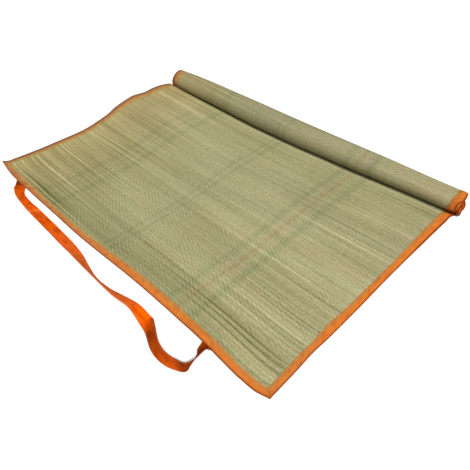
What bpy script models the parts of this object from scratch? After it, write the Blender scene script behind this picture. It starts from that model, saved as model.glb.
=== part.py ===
"""Beach mat of woven sedge, half unrolled, with its cloth binding and its carrying strap.

Sizes are in millimetres in the mat's own layout: X runs across the mat, 0 at its middle, Y runs from
the near edge towards the roll, and Z is the height over the ground. A point of the lying sheet is
named by u, its distance from the left side, and v, its distance from the near edge. At the end the
whole is moved so that its origin is at the bottom centre, and turned into metres.
"""
import bmesh
import bpy
import numpy as np

# Driving sizes
MAT_WIDTH = 900.0       # across the mat, side to side
LYING = 550.0           # near edge to the crease under the roll
SHEET = 1.6             # woven sedge
TAPE = 0.8              # binding cloth, folded in on itself, one layer
GAP = 0.3               # clear space between two pieces
STRAP_WIDTH = 24.0
STRAP_THICK = 1.4       # strap cloth, folded and sewn flat
UNDER = TAPE + GAP      # what the binding's lower layer takes under the sheet's edge
HALF = MAT_WIDTH / 2

# The near edge: place across, bow of the edge towards the strap, width of its binding
NEAR_EDGE = [
    (-450, 0, 15), (-420, 5, 15), (-370, 11, 15), (-270, 12.4, 15), (-160, 12.1, 15), (-60, 12.3, 16),
    (20, 9.4, 18), (100, 5.8, 19), (200, 4.3, 20), (300, 5.8, 18), (400, 10, 16), (430, 8.6, 15), (450, 3, 15)]
# The left side: place along, draw-in of the side, lift of the sheet there, width of its binding
LEFT_SIDE = [
    (0, 4, 0, 14), (13, 15.5, 0, 14), (30, 18, 0, 14), (60, 21.5, 0, 14), (95, 25, 0, 14), (150, 27, 0, 14),
    (225, 28, 0, 14), (250, 25, 0.8, 14), (272, 22.5, 3, 14), (295, 19, 5, 14), (316, 16, 8, 14),
    (345, 12, 15.5, 14), (367, 9.5, 18.4, 15), (390, 8, 21.4, 15), (412, 7, 23, 15), (434, 7, 21, 15),
    (456, 7, 18.5, 16), (480, 6.5, 20, 16), (505, 5.5, 18.8, 16), (528, 5.5, 16, 16), (550, 6, 11.5, 16)]
# The right side: place along, how far it stands out past half the width, width of its binding
RIGHT_SIDE = [
    (0, 1.2, 15), (60, 0.2, 15), (112, -0.9, 14), (128, -0.4, 16), (200, 1.5, 16), (330, 1.8, 15), (395, 3.5, 17),
    (450, 5, 19), (520, 7.4, 20), (550, 8, 20)]
# The roll: place across, radius, place of its axis along
ROLL = [
    (-450, 26.0, 561), (-418, 26.8, 561), (-386, 28.1, 560), (-277, 29.7, 557.5), (-174, 30.2, 554),
    (-80, 30.6, 551), (4, 30.0, 550.5), (82, 29.4, 551), (152, 28.4, 553.5), (219, 27.8, 555), (281, 26.8, 558),
    (339, 25.5, 560.5), (393, 24.4, 562.5), (470, 24.0, 563)]
# The edges of the roll's two outermost turns: degrees from the ground up round the far side, then the
# outer turn's left and right edge, the next turn's left and right edge, and how far the next turn
# swells out of round at the right end, as a part of the radius
TURN_EDGES = [
    (-60, -434, 460, -431, 467, 0.1), (-30, -437, 460, -434, 468, 0.2), (0, -439, 459.5, -435, 468, 0.12),
    (20, -439, 459, -435, 467.5, 0.04), (45, -437, 459, -433, 467.5, 0), (62, -435, 460, -431, 465.5, 0),
    (80, -432, 461, -428, 461.5, 0), (130, -426, 463, -422, 460, 0), (155, -422, 465, -418, 461.5, 0),
    (180, -420.5, 467.5, -416, 464, 0), (215, -420, 468, -416, 467, 0), (235, -420.5, 462.5, -417, 468, 0),
    (270, -424.5, 461.5, -421, 467, 0), (300, -431, 460.5, -427, 467, 0.03), (316, -433, 460, -430, 468, 0.12),
    (332, -434, 460, -431, 469, 0.25), (345, -434, 460, -431, 469, 0.25)]
# The inner edge of the binding on the outer turn: degrees as above, left end, right end
BAND_EDGES = [
    (-60, -420, 443), (0, -423, 440.5), (90, -415, 443), (180, -404, 447.5), (235, -407, 446), (270, -412, 444),
    (300, -418, 443), (340, -420, 443)]
# Each end of the roll, from its rim inwards: part of the radius, which turn's edge it follows (0 the
# outer's, 2 the next's), how far it stands past that edge, how much of the edge's skew it has lost
ROLL_END = [
    (0.94, 0, -0.4, 0.0), (0.93, 2, 0.0, 0.0), (0.85, 2, 0.3, 0.0), (0.82, 2, -5.0, 0.3), (0.70, 2, -5.5, 0.6),
    (0.66, 2, -2.0, 0.8), (0.30, 2, -3.0, 1.0)]
CORE_DEPTH = 9.0        # of the hole along the roll's axis, as far as it is open here
FLAT_SPOT = 0.3         # how far the roll is pressed flat under itself

# The strap's route: middle across and along, and the lean of its width, 0 flat and 90 on edge
STRAP_ROUTE = [
    (-346, 6, 0), (-331, -4, 0), (-314.5, -15, -4), (-304, -20.5, -16), (-294, -25.5, -36), (-281, -31, -43),
    (-262, -35.5, -38), (-232, -37.5, -30), (-195, -38, -20), (-120, -39, -16), (-53, -41, -17), (-11, -44, -32),
    (33, -50, -55), (67, -53, -67), (104, -52, -60), (133, -48, -43), (171, -41, -30), (203, -43, -11),
    (216, -45, 14), (233, -51, 38), (266, -66, 50), (296, -69, 65), (324, -61, 80), (332, -54, 93), (331, -46, 108),
    (329.5, -37, 117), (328, -30, 121), (326, -23.5, 130), (324.3, -18.5, 146), (323, -14.8, 167),
    (322, -11.8, 179), (321, -7, 180), (320, 0, 180), (319.5, 8, 180), (319, 16, 180)]
STRAP_STEPS = 4         # points of the strap for each row above
STRAP_LAP = (7.2, 8.0, 0.8)     # its lapped join: from and to, in rows of the route, extra thickness
# Where the mat's edge rides up over the strap's two sewn ends: place across, rise
STRAP_ROOTS = [(-322, 3.2), (321, 2.8)]
ROOT_REACH = (30.0, 75.0)       # full rise within the first, none past the second, across
ROOT_RUN = (20.0, 80.0)         # the same along the mat

# How finely the shapes are stepped. The panel and the tapes share these rows, so that they stay parallel.
CORNER_STEPS = 4        # from an edge to the first row, in the corner squares of the mitred tapes
LENGTH_ROWS = [26, 38, 50, 70, 95, 125, 165, 205, 240, 265, 290, 315, 340, 365, 390, 415, 440, 465, 490, 515, 535]
WIDTH_ROWS = [26, 38, 50] + list(range(75, 826, 25)) + [850, 862, 874]
CORNER = np.arange(CORNER_STEPS) / CORNER_STEPS
TURN_STEPS = 30
STOP_SHORT = 3.0        # the sheet's bound edge and the wound end keep this much before the crease
SIDE_CLEAR = 1.2        # the same between the wound ends and the panel's roll, along the axis


def column(table, number, at):
    """Smooth curve through one column of a table, read at the given places of its first column."""
    place, value = np.array(table, float)[:, 0], np.array(table, float)[:, number]
    slope = np.gradient(value, place)
    at = np.clip(at, place[0], place[-1])
    low = np.clip(np.searchsorted(place, at) - 1, 0, len(place) - 2)
    step = place[low + 1] - place[low]
    f = (at - place[low]) / step
    from_low = (1 + 2 * f) * (1 - f) ** 2 * value[low] + f * (1 - f) ** 2 * step * slope[low]
    from_high = f ** 2 * (3 - 2 * f) * value[low + 1] + f ** 2 * (f - 1) * step * slope[low + 1]
    return from_low + from_high


def fade(distance, full, none):
    """1 up to the distance full, 0 past the distance none, and an even slope between them."""
    f = np.clip((none - distance) / (none - full), 0, 1)
    return f * f * (3 - 2 * f)


def lift(u, v):
    """Height of the lying sheet's underside: its bound edges, the left hump and the strap's ends."""
    across = u - HALF
    edge = fade(np.minimum(np.minimum(u, MAT_WIDTH - u), v), 26, 50) * UNDER
    hump = np.maximum(column(LEFT_SIDE, 2, v), 0) * np.clip((60 - across) / (60 + HALF), 0, 1) ** 1.5
    roots = sum(rise * fade(np.abs(across - place), *ROOT_REACH) for place, rise in STRAP_ROOTS)
    return edge + hump + roots * fade(v, *ROOT_RUN)


def side_to_side(u, v):
    """Place across of a lying point, between the left side's and the right side's own lines."""
    left = -HALF + column(LEFT_SIDE, 1, v)
    right = HALF + column(RIGHT_SIDE, 1, v)
    return left + (right - left) * u / MAT_WIDTH


def crease(u):
    """Place along where the binding's top would meet the roll, which stands on the ground."""
    x = side_to_side(u, LYING)
    radius = column(ROLL, 1, x)
    top = lift(u, LYING) + SHEET + UNDER
    return column(ROLL, 2, x) - np.sqrt(radius ** 2 - (radius - top) ** 2)


def lying(u, v, over=0.0):
    """Points of the lying sheet's underside, raised by over."""
    x = side_to_side(u, v)
    y = v * crease(u) / LYING - column(NEAR_EDGE, 1, x) * (1 - v / LYING) ** 2
    return np.stack([x, y, lift(u, v) + over], -1)


def on_roll(x, turn, more=0.0):
    """Points of the roll at an angle from the ground up round the far side; more adds to its radius."""
    radius = column(ROLL, 1, x) + more
    y = column(ROLL, 2, x) + radius * np.sin(turn)
    z = np.maximum(radius - radius * np.cos(turn) - FLAT_SPOT, 0.0)
    return np.stack([x, y, z], -1)


def turn_angles(u):
    """Angles round the roll, from where it leaves the bound sheet's underside to where it meets its top."""
    radius = column(ROLL, 1, side_to_side(u, LYING))
    low, high = lift(u, LYING) - UNDER, lift(u, LYING) + SHEET + UNDER
    start = -np.arccos(1 - np.maximum(low, 0) / radius)
    return np.linspace(start, 2 * np.pi - np.arccos(1 - high / radius), TURN_STEPS + 1)


def edge_of_turn(turn, side, which=0):
    """The edge of the outer turn (0) or the next one (2) at an angle: side 1 is the left, 2 the right."""
    return column(TURN_EDGES, side + which, np.degrees(turn))


def band_edge(turn, side):
    """Where the binding on the outer turn ends, towards the roll's middle."""
    return column(BAND_EDGES, side, np.degrees(turn))


def new_object(name, points, faces, colour, roughness):
    """One closed body from points in millimetres, its faces turned outwards, with its own material."""
    mesh = bpy.data.meshes.new(name)
    mesh.from_pydata(points.tolist(), [], faces)
    shell = bmesh.new()
    shell.from_mesh(mesh)
    bmesh.ops.recalc_face_normals(shell, faces=shell.faces)
    shell.to_mesh(mesh)
    shell.free()
    piece = bpy.data.objects.new(name, mesh)
    bpy.context.scene.collection.objects.link(piece)
    material = bpy.data.materials.new(name)
    material.use_nodes = True
    shader = material.node_tree.nodes["Principled BSDF"]
    shader.inputs["Base Color"].default_value = (*colour, 1.0)
    shader.inputs["Roughness"].default_value = roughness
    mesh.materials.append(material)
    mesh.shade_smooth()
    mesh.set_sharp_from_angle(angle=np.radians(40))
    return piece


def bridge(first, second, count):
    """Quads between two closed rings of points that are stored one after the other."""
    return [(first + i, first + (i + 1) % count, second + (i + 1) % count, second + i) for i in range(count)]


def sweep(rings):
    """Points and faces of closed rings joined in order, with a flat cap of one face at each end."""
    rings = np.array(rings)
    number, count = rings.shape[:2]
    faces = [tuple(range(count))]
    for i in range(number - 1):
        faces += bridge(i * count, (i + 1) * count, count)
    faces.append(tuple(range((number - 1) * count, number * count)))
    return rings.reshape(-1, 3), faces


def end_cap(rows, count, first):
    """Faces over one end of a sheet that runs into its roll.

    The ring of count points holds rows points under the sheet, the roll's points, and rows points on
    top. Strips close the sheet, and a fan to one more point, stored last, closes the roll.
    """
    faces = [(first + j, first + count - 1 - j, first + count - 2 - j, first + j + 1) for j in range(rows)]
    centre = first + count
    fan = list(range(rows, count - rows))
    return faces + [(first + a, centre, first + b) for a, b in zip(fan, fan[1:] + fan[:1])]


def end_centre(side, shift=0.0):
    """The point on the roll's axis behind one end's band, moved across by the shift."""
    x = band_edge(np.linspace(0, 2 * np.pi, 60), side).mean() + shift
    return np.array([x, column(ROLL, 2, x), column(ROLL, 1, x)])


def along_length(start, *last):
    """Stations from near the near edge over the shared rows to the last ones given."""
    return np.concatenate([start + (LENGTH_ROWS[0] - start) * CORNER, LENGTH_ROWS, last])


def along_width(start):
    """Stations from near the left side over the shared rows to the same distance from the right side."""
    corner = start + (WIDTH_ROWS[0] - start) * CORNER
    return np.concatenate([corner, WIDTH_ROWS, MAT_WIDTH - corner[::-1]])


def mat_panel():
    """The sedge panel: the lying sheet, its bound edges inside the binding, and the roll, one solid."""
    v_rows = along_length(UNDER, LYING - STOP_SHORT - 0.9, LYING - STOP_SHORT - 0.5)
    u_rows = along_width(UNDER)
    in_roll = (u_rows - UNDER) / (MAT_WIDTH - 2 * UNDER)
    beyond_left = column(LEFT_SIDE, 3, LYING) + SIDE_CLEAR
    beyond_right = MAT_WIDTH - column(RIGHT_SIDE, 2, LYING) - SIDE_CLEAR
    rings = []
    for u_row, s in zip(u_rows, in_roll):
        u = np.full(len(v_rows), u_row)
        u[-1] = np.clip(u_row, beyond_left, beyond_right)
        turn = turn_angles(u[-1])
        left = band_edge(turn, 1) + SIDE_CLEAR
        right = band_edge(turn, 2) - SIDE_CLEAR
        rolled = on_roll(left + (right - left) * s, turn)
        rings.append(np.vstack([lying(u, v_rows), rolled, lying(u, v_rows, SHEET)[::-1]]))
    rings = np.array(rings)
    count, rows = rings.shape[1], len(v_rows)
    centres = [end_centre(1, SIDE_CLEAR), end_centre(2, -SIDE_CLEAR)]
    points = np.vstack([rings[0], centres[0], rings[1:-1].reshape(-1, 3), rings[-1], centres[1]])
    starts = [0] + [count + 1 + i * count for i in range(len(rings) - 1)]
    faces = end_cap(rows, count, starts[0]) + end_cap(rows, count, starts[-1])
    for a, b in zip(starts, starts[1:]):
        faces += bridge(a, b, count)
    return new_object("mat_panel", points, faces, (0.42, 0.40, 0.20), 0.75)


def tape_section(width, at):
    """Points of the folded tape's section, with at(q, height) giving each one's place.

    The section is a fold round the sheet's edge, q being the distance in from the fold. Height runs
    from 0 under the lower layer to 1 over the upper one, in steps that at turns into millimetres.
    """
    full = SHEET + 2 * UNDER
    low_in, high_in = TAPE, full - TAPE
    outline = [
        (0.8, 0.0), (width, 0.0), (width, low_in), (TAPE, low_in), (TAPE, high_in), (width, high_in),
        (width, full), (0.8, full), (0.0, full - 0.9), (0.0, 0.9)]
    return np.array([at(q, height - UNDER) for q, height in outline])


def near_binding():
    """The tape folded round the near edge, its ends cut at 45 degrees against the side tapes."""
    mitre = GAP * 0.75
    rings = []
    for station, middle in enumerate(along_width(0.0)):

        def at(q, over):
            return lying(along_width(q + mitre)[station], np.array(q), over)
        rings.append(tape_section(column(NEAR_EDGE, 2, middle - HALF), at))
    points, faces = sweep(rings)
    return new_object("binding_near", points, faces, (0.78, 0.20, 0.02), 0.8)


def side_strip(name, side):
    """The lying part of a side's tape, from the mitred corner to just inside the wound end."""
    table, number = ((LEFT_SIDE, 3), (RIGHT_SIDE, 2))[side - 1]
    mitre = GAP * 0.75
    end = LYING - STOP_SHORT + 0.8
    rings = []
    for station, middle in enumerate(along_length(0.0, end)):

        def at(q, over):
            return lying(np.array(q if side == 1 else MAT_WIDTH - q), along_length(q + mitre, end)[station], over)
        rings.append(tape_section(column(table, number, middle), at))
    points, faces = sweep(rings)
    return new_object(name, points, faces, (0.78, 0.20, 0.02), 0.8)


def wound_end(name, side):
    """A side's tape where it is wound up with the sheet: the band round the roll and its end face."""
    table, number = ((LEFT_SIDE, 3), (RIGHT_SIDE, 2))[side - 1]
    width = column(table, number, LYING)
    outward = -1.0 if side == 1 else 1.0
    skin = 0.5
    rings = []
    for inset in (0.1, width - 0.1):
        u = np.array(inset if side == 1 else MAT_WIDTH - inset)
        v = np.array(LYING - STOP_SHORT)
        turn = turn_angles(u)
        x = band_edge(turn, side) if inset > 1 else edge_of_turn(turn, side)
        rings.append(np.vstack([lying(u, v, 0.1 - UNDER), on_roll(x, turn, skin), lying(u, v, SHEET + UNDER - 0.1)]))
    outer, inner = rings
    rim = outer[1:-1]
    axis = end_centre(side)
    swell = column(TURN_EDGES, 5, np.degrees(turn)) * (side == 2)
    faces_of_end = []
    for part, which, stand, evened in ROLL_END:
        reach = part * (1 + swell * (which == 2) * (1 - evened))
        ring = axis + (rim - axis) * reach[:, None]
        edge = edge_of_turn(turn, side, which)
        ring[:, 0] = edge + (edge.mean() - edge) * evened + outward * stand
        ring[:, 2] = np.maximum(ring[:, 2], 0.0)
        faces_of_end.append(ring)
    bottom = faces_of_end[-1].copy()
    bottom[:, 0] -= outward * CORE_DEPTH
    faces_of_end.append(bottom)
    count, loop = len(outer), len(rim)
    points = np.vstack([outer, inner, axis] + faces_of_end)
    faces = bridge(0, count, count) + end_cap(1, count, count) + [(0, 1, count - 2, count - 1)]
    previous = list(range(1, count - 1))
    for first in range(2 * count + 1, len(points), loop):
        ring = list(range(first, first + loop))
        faces += [(previous[i], previous[(i + 1) % loop], ring[(i + 1) % loop], ring[i]) for i in range(loop)]
        previous = ring
    faces.append(tuple(previous))
    return new_object(name, points, faces, (0.78, 0.20, 0.02), 0.8)


def side_binding(name, side):
    """The whole tape of one side: its lying strip and its wound end joined into one body."""
    strip = side_strip(name, side)
    end = wound_end(name + "_wound", side)
    end.hide_render = True
    end.display_type = "WIRE"
    join = strip.modifiers.new("wound end", "BOOLEAN")
    join.operation = "UNION"
    join.object = end
    return strip


def smooth_route(rows, steps):
    """A smooth curve through the rows of a table, with the given number of points for each row."""
    rows = np.array(rows, float)
    places = np.arange(len(rows), dtype=float)
    at = np.linspace(0, len(rows) - 1, (len(rows) - 1) * steps + 1)
    return at, np.stack([column(np.column_stack([places, rows]), i + 1, at) for i in range(rows.shape[1])], -1)


def carry_strap():
    """The strap: one flat band that lies, stands on edge and turns back, its lower edge on the ground."""
    at, route = smooth_route(STRAP_ROUTE, STRAP_STEPS)
    lean = np.radians(route[:, 2])
    lap_from, lap_to, lap_more = STRAP_LAP
    thick = STRAP_THICK + lap_more * ((at > lap_from) & (at < lap_to))
    half_width, half_thick = STRAP_WIDTH / 2, thick / 2
    height = half_width * np.abs(np.sin(lean)) + half_thick * np.abs(np.cos(lean))
    middle = np.column_stack([route[:, :2], height])
    along = np.gradient(middle, axis=0)
    along /= np.linalg.norm(along, axis=1)[:, None]
    level = np.cross([0.0, 0.0, 1.0], along)
    level /= np.linalg.norm(level, axis=1)[:, None]
    upward = np.cross(along, level)
    wide = np.cos(lean)[:, None] * level + np.sin(lean)[:, None] * upward
    face = np.cross(along, wide)
    corners = [(-1, -1), (1, -1), (1, 1), (-1, 1)]
    rings = np.stack(
        [middle + a * half_width * wide + b * half_thick[:, None] * face for a, b in corners], axis=1)
    rings[:, :, 2] = np.maximum(rings[:, :, 2], 0.0)
    points, faces = sweep(rings)
    return new_object("carry_strap", points, faces, (0.80, 0.14, 0.01), 0.8)


def set_origin(pieces):
    """Moves every point so that the origin is at the bottom centre of the whole, and into metres."""
    corners = np.vstack([np.array([corner.co[:] for corner in piece.data.vertices]) for piece in pieces])
    low, high = corners.min(axis=0), corners.max(axis=0)
    origin = np.array([(low[0] + high[0]) / 2, (low[1] + high[1]) / 2, low[2]])
    for piece in pieces:
        places = np.array([corner.co[:] for corner in piece.data.vertices]) - origin
        piece.data.vertices.foreach_set("co", (places * 0.001).ravel())
        piece.data.update()
    print("origin in the layout, mm", np.round(origin, 3), "size", np.round(high - low, 2))


def build():
    """Clears the scene and makes the five pieces."""
    for thing in list(bpy.data.objects):
        bpy.data.objects.remove(thing, do_unlink=True)
    mat_panel()
    near_binding()
    side_binding("binding_left", 1)
    side_binding("binding_right", 2)
    carry_strap()
    set_origin(list(bpy.data.objects))


build()
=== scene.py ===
"""Looks of the beach mat: woven sedge, bound with orange cotton tape, and its carrying strap.

Sizes are in millimetres in the mat's own layout, as in the part's source: X runs across the mat, 0 at
its middle, Y from the near edge towards the roll, Z up from the ground. A point of the mat is named
by u, its distance from the left side, by its way along the mat, 0 at the near edge, 1 at the crease
under the roll and 1 more for each turn of the roll, and by its depth, the distance from the middle
of the sheet, above it where the mat lies and inwards where it is wound.
"""

import bpy
import numpy as np
from mathutils import Matrix, Vector


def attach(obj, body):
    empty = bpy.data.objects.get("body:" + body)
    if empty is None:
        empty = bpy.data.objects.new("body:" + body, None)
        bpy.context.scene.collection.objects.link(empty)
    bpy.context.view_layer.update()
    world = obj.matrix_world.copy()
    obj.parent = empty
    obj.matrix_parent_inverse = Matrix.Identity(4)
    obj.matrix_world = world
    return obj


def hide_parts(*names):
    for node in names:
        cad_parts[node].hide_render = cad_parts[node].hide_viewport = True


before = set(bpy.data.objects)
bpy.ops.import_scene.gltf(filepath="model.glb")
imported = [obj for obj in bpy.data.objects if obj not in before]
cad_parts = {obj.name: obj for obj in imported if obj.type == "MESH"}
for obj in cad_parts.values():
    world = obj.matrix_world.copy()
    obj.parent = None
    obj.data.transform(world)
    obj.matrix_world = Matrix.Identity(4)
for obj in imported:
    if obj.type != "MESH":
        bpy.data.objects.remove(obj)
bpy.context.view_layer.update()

# The layout's point that is the row's origin
ORIGIN = np.array([11.646, 256.127, 0.0])

# Driving sizes
MAT_WIDTH = 900.0       # across the mat, side to side
LYING = 550.0           # near edge to the crease under the roll
SHEET = 1.6             # the solid's sheet
UNDER = 1.1             # what the binding's lower layer takes under the sheet's edge
HALF = MAT_WIDTH / 2
MIDDLE = 0.85           # height of the sheet's middle where it lies on the ground
GROUND_GAP = 0.02       # nothing comes closer to the ground
REED = 2.2              # one stalk of sedge across its run
RIDGE = (0.19, 0.07)    # height of a stalk's ridge and how much it varies
SHEET_HALF = (0.60, 0.24)       # half the sheet's thickness, and where it is pressed in the roll's binding
PRESSED_EDGE = (20.0, 26.0)     # the sheet is pressed within the first, not past the second, from its edge
BOUND_EDGE = (26.0, 50.0)       # the same for its rise over the binding's lower layer
HUMP_END = 60.0         # the left side's lift ends this far right of the middle
TURNS = 10.0            # turns of the roll
CORE = 5.0              # radius of the hole along the roll
EASE_TURN = 0.7         # radians in which the lying edges go over to the roll's own
# Ways of the rows past the roll's outer turn, closest where the second turn stands loose
INNER_ROWS = 2.065 + (TURNS - 1.065) * np.linspace(0, 1, 246)[1:] ** 1.3
LEFT, RIGHT = 1, 2      # the sides, as the number of their column in the tables of the roll
SIDE_LINE = 10.0        # the roll's angle in a side's binding is taken this far in from the side

# The near edge: place across, bow of the edge towards the strap, width of its binding
NEAR_EDGE = [
    (-450, 0, 14), (-420, 5, 14.5), (-370, 11, 14.5), (-270, 12.4, 13), (-160, 12.1, 12),
    (-60, 12.3, 13), (20, 9.4, 15), (100, 5.8, 16.5), (200, 4.3, 17), (300, 5.8, 15.5), (400, 10, 14),
    (430, 8.6, 13.5), (450, 3, 13.5)]
# The left side: place along, draw-in of the side, lift of the sheet there, width of its binding
LEFT_SIDE = [
    (0, 4, 0, 15), (13, 15.5, 0, 16), (30, 18, 0, 17.5), (60, 21.5, 0, 19), (95, 25, 0, 19.5),
    (150, 27, 0, 20), (225, 28, 0, 20.5), (250, 25, 0.8, 20.5), (272, 22.5, 3, 20.5), (295, 19, 5, 21.5),
    (316, 16, 8, 23.5), (345, 12, 15.5, 25), (367, 9.5, 18.4, 25.5), (390, 8, 21.4, 25.5), (412, 7, 23, 25),
    (434, 7, 21, 25), (456, 7, 18.5, 25), (480, 6.5, 20, 24.5), (505, 5.5, 18.8, 23.5),
    (528, 5.5, 16, 21.5), (550, 6, 11.5, 18)]
# The right side: place along, how far it stands out past half the width, width of its binding
RIGHT_SIDE = [
    (0, 1.6, 13), (60, 1.0, 14), (112, 0.0, 14), (122, 0.6, 15.5), (200, 2.4, 15), (330, 2.8, 14),
    (395, 4.2, 16), (450, 5.6, 18), (520, 7.6, 19), (542, 8.6, 19), (550, 12, 19.5)]
# The roll: place across, radius, place of its axis along
ROLL = [
    (-450, 26.0, 561), (-418, 26.8, 561), (-386, 28.1, 560), (-277, 29.7, 557.5), (-174, 30.2, 554),
    (-80, 30.6, 551), (4, 30.0, 550.5), (82, 29.4, 551), (152, 28.4, 553.5), (219, 27.8, 555),
    (281, 26.8, 558), (339, 25.5, 560.5), (393, 24.4, 562.5), (470, 24.0, 563)]
# The wound edges: degrees from the ground up round the far side and on, left edge, right edge
WOUND_EDGES = [
    (-60, -437, 464), (-30, -437, 464), (0, -439, 464), (20, -439, 462), (45, -437, 460), (62, -435, 460),
    (80, -432, 461), (130, -426, 463), (155, -422, 465), (180, -420.5, 467.5), (215, -420, 468),
    (235, -420.5, 463), (270, -424.5, 461), (300, -431, 460), (325, -433.5, 459.5), (345, -435, 460.5),
    (358, -435, 464), (380, -435, 467), (405, -433, 467.5), (422, -431, 465.5), (440, -428, 461.5),
    (490, -422, 460), (515, -418, 461.5), (540, -416, 464), (575, -416, 467), (595, -417, 468),
    (630, -421, 467), (660, -427, 467), (676, -430, 468), (692, -431, 469), (705, -431, 469),
    (740, -428, 466), (790, -421, 461), (900, -420, 461), (1440, -420, 460.5), (1640, -423, 463.8),
    (1800, -423.2, 464), (2400, -422.6, 463.6), (3600, -422, 463)]
# Loose turns at the right end: degrees as above, how far they swell outwards as a part of the radius
LOOSE_TURNS = [
    (-60, 0), (325, 0), (345, 0.03), (360, 0.03), (380, 0.02), (405, 0), (640, 0),
    (660, 0.03), (676, 0.12), (692, 0.2), (705, 0.12), (720, 0.07), (745, 0.02), (765, 0), (3600, 0)]
LOOSE_FROM, LOOSE_OVER = 459.0, 8.0     # place across where they start, and over how much they grow
# The binding's width on the wound mat: degrees as above, at the left end, at the right end
WOUND_TAPE = [
    (-60, 18, 19.5), (0, 18, 19), (90, 20, 18), (180, 28, 19), (210, 29, 19), (235, 28, 14.5),
    (252, 26, 15.5), (270, 22, 16.5), (300, 17, 18), (340, 15, 18), (420, 15, 17), (3600, 15, 16)]
# Outline of the folded tape: place as a part of its width from the fold, height as a part of its cloth's
TAPE_CROWN = [(1.0, 0.25), (1.012, 0.5), (1.0, 0.72), (0.965, 0.8), (0.9, 0.62), (0.84, 0.66), (0.72, 0.92),
              (0.5, 1.0), (0.28, 0.98), (0.12, 0.92)]
# The same round the fold, the place in millimetres
TAPE_FOLD = [(0.45, 0.86), (0.12, 0.5), (0.0, 0.0), (0.12, -0.5), (0.45, -0.86)]
TAPE_CLOTH = (0.78, 0.40)       # thickness of one layer where the mat lies, and where it is wound
TAPE_SLOT = (0.8, 0.38)         # half the slot between the layers, the same way
TAPE_CLEAR = 0.04       # between the slot and the cloth
TAPE_INSET = 0.95       # from the fold to the slot's end
OUTER_BULGE = 0.75      # what the lower layer gains on the roll's outside
MITRE_GAP = 0.05        # half the gap at the mitred corners, along the edge
# Coloured warp cords: place across as a part of the width, and what each lets through of the sedge's colour
WARP_LINES = [
    (0.0, "ffffff"), (0.186, "ffffff"), (0.2035, "ecf1ea"), (0.221, "ffffff"), (0.227, "ffffff"),
    (0.233, "f6eeee"), (0.240, "ffffff"), (0.254, "ffffff"), (0.2700, "e6eee8"), (0.286, "ffffff"),
    (0.482, "ffffff"), (0.489, "e6ebe6"), (0.496, "ffffff"), (0.503, "ffffff"), (0.5105, "e4e9e4"),
    (0.518, "ffffff"), (0.702, "ffffff"), (0.7145, "e0ede2"), (0.727, "ffffff"), (0.738, "ffffff"),
    (0.7455, "fbe3da"), (0.753, "ffffff"), (0.766, "ffffff"), (0.7805, "dcebe0"), (0.795, "ffffff"),
    (1.0, "ffffff")]

# The strap's route: middle across and along, and the lean of its width, 0 flat and 90 on edge
STRAP_ROUTE = [
    (-346, 6, 0), (-331, -4, 0), (-314.5, -15, -4), (-304, -20.5, -16), (-294, -25.5, -36), (-281, -31, -43),
    (-262, -35.5, -38), (-232, -37.5, -30), (-195, -38, -20), (-120, -39, -16), (-53, -41, -17),
    (-11, -44, -32),
    (33, -50, -55), (67, -53, -67), (104, -52, -60), (133, -48, -43), (171, -41, -30), (203, -43, -11),
    (216, -45, 14), (233, -51, 38), (266, -66, 50), (296, -69, 65), (324, -61, 80), (331, -54, 94),
    (331, -46, 109),
    (329.5, -37, 116), (328, -29, 120), (326, -21.5, 129), (324.3, -16, 146), (323, -12, 166),
    (322, -8.5, 178), (321, -5, 180), (320, 0, 180), (319.5, 8, 180), (319, 16, 180)]
# Outline of the strap: place across as a part of half its width, height as a part of half its thickness
STRAP_OUTLINE = [
    (1, 0.35), (0.985, 0.75), (0.94, 0.95), (0.88, 0.86), (0.84, 0.88), (0.7, 0.98), (0.3, 1), (-0.3, 1),
    (-0.7, 0.98), (-0.84, 0.88), (-0.88, 0.86), (-0.94, 0.95), (-0.985, 0.75), (-1, 0.35)]
# Place across along the strap, and its tone there: 0 for its darkest brown, 1 for its brightest orange.
# The bright stretch from 180 to 214 is painted light on its open curl, the dark stretch past 222 is painted
# shade on its standing part, and the dark end at 327 is painted shade under the mat's edge
STRAP_TONES_AND_LIGHT = [
    (-300, 0.6), (-210, 0.66), (-199, 0.9), (-194, 0.52), (-120, 0.52), (130, 0.58), (180, 0.9), (200, 0.96),
    (214, 0.66), (222, 0.42), (240, 0.1), (252, 0.1), (266, 0.18), (288, 0.28), (314, 0.26), (327, 0.0)]
# Painted shade across the strap's standing part, from 240 to 327 along
STRAP_PAINTED_SHADES = [(240, 0), (290, 0.05), (316, 0.12), (327, 0)]   # what its outer edge loses of that
STRAP_DUST = [(-110, 0), (-40, 0.2), (20, 0.45), (120, 0.5), (150, 0.4), (182, 0)]
STITCH = 3.2            # from hole to hole
STITCH_LENGTH = 2.4     # of one stitch
THREAD = 0.28           # radius of the thread
THREAD_RISE, THREAD_SUNK = 0.42, 0.20   # top of a stitch over its ends, and its ends in the cloth
SEAM_AT = 0.865         # where the tape is sewn down, as a part of its width from the fold
SEAM_DEPTH = 0.62       # height of the sewn groove, as a part of the cloth's thickness
STRAP_WIDTH = 24.0
STRAP_THICK = 1.4
STRAP_LAP = (7.2, 8.0, 0.8)     # its lapped join: from and to, in rows of the route, extra thickness
# Where the mat's edge rides up over the strap's two sewn ends: place across, rise
STRAP_ROOTS = [(-322, 3.2), (321, 2.8)]
ROOT_REACH = (30.0, 75.0)       # full rise within the first, none past the second, across
ROOT_RUN = (20.0, 80.0)         # the same along the mat

# Weave of the sedge: a cord every so far, each stalk's dips moved by this part of it, and the thin lines
# of the cords, drawn a little coarser than the real ones
CORD_EVERY = 13.5
CORD_SHIFT = 0.3
CORD_LINES = 6.4

# The photograph's view, found from the mat's corners: focal length and width in its pixels, place in
# metres of the layout, and turns in degrees
PHOTO_FOCAL, PHOTO_WIDTH = 446.4, 470
CAMERA_PLACE = np.array([0.6458, -0.2343, 0.6156])
CAMERA_PITCH, CAMERA_HEADING, CAMERA_ROLL = 46.43, 47.09, -3.08


def smooth(f):
    """A step from 0 to 1 with level ends: 3 f squared less 2 f cubed, f held between 0 and 1."""
    f = np.clip(f, 0, 1)
    return f * f * (3 - 2 * f)


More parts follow.
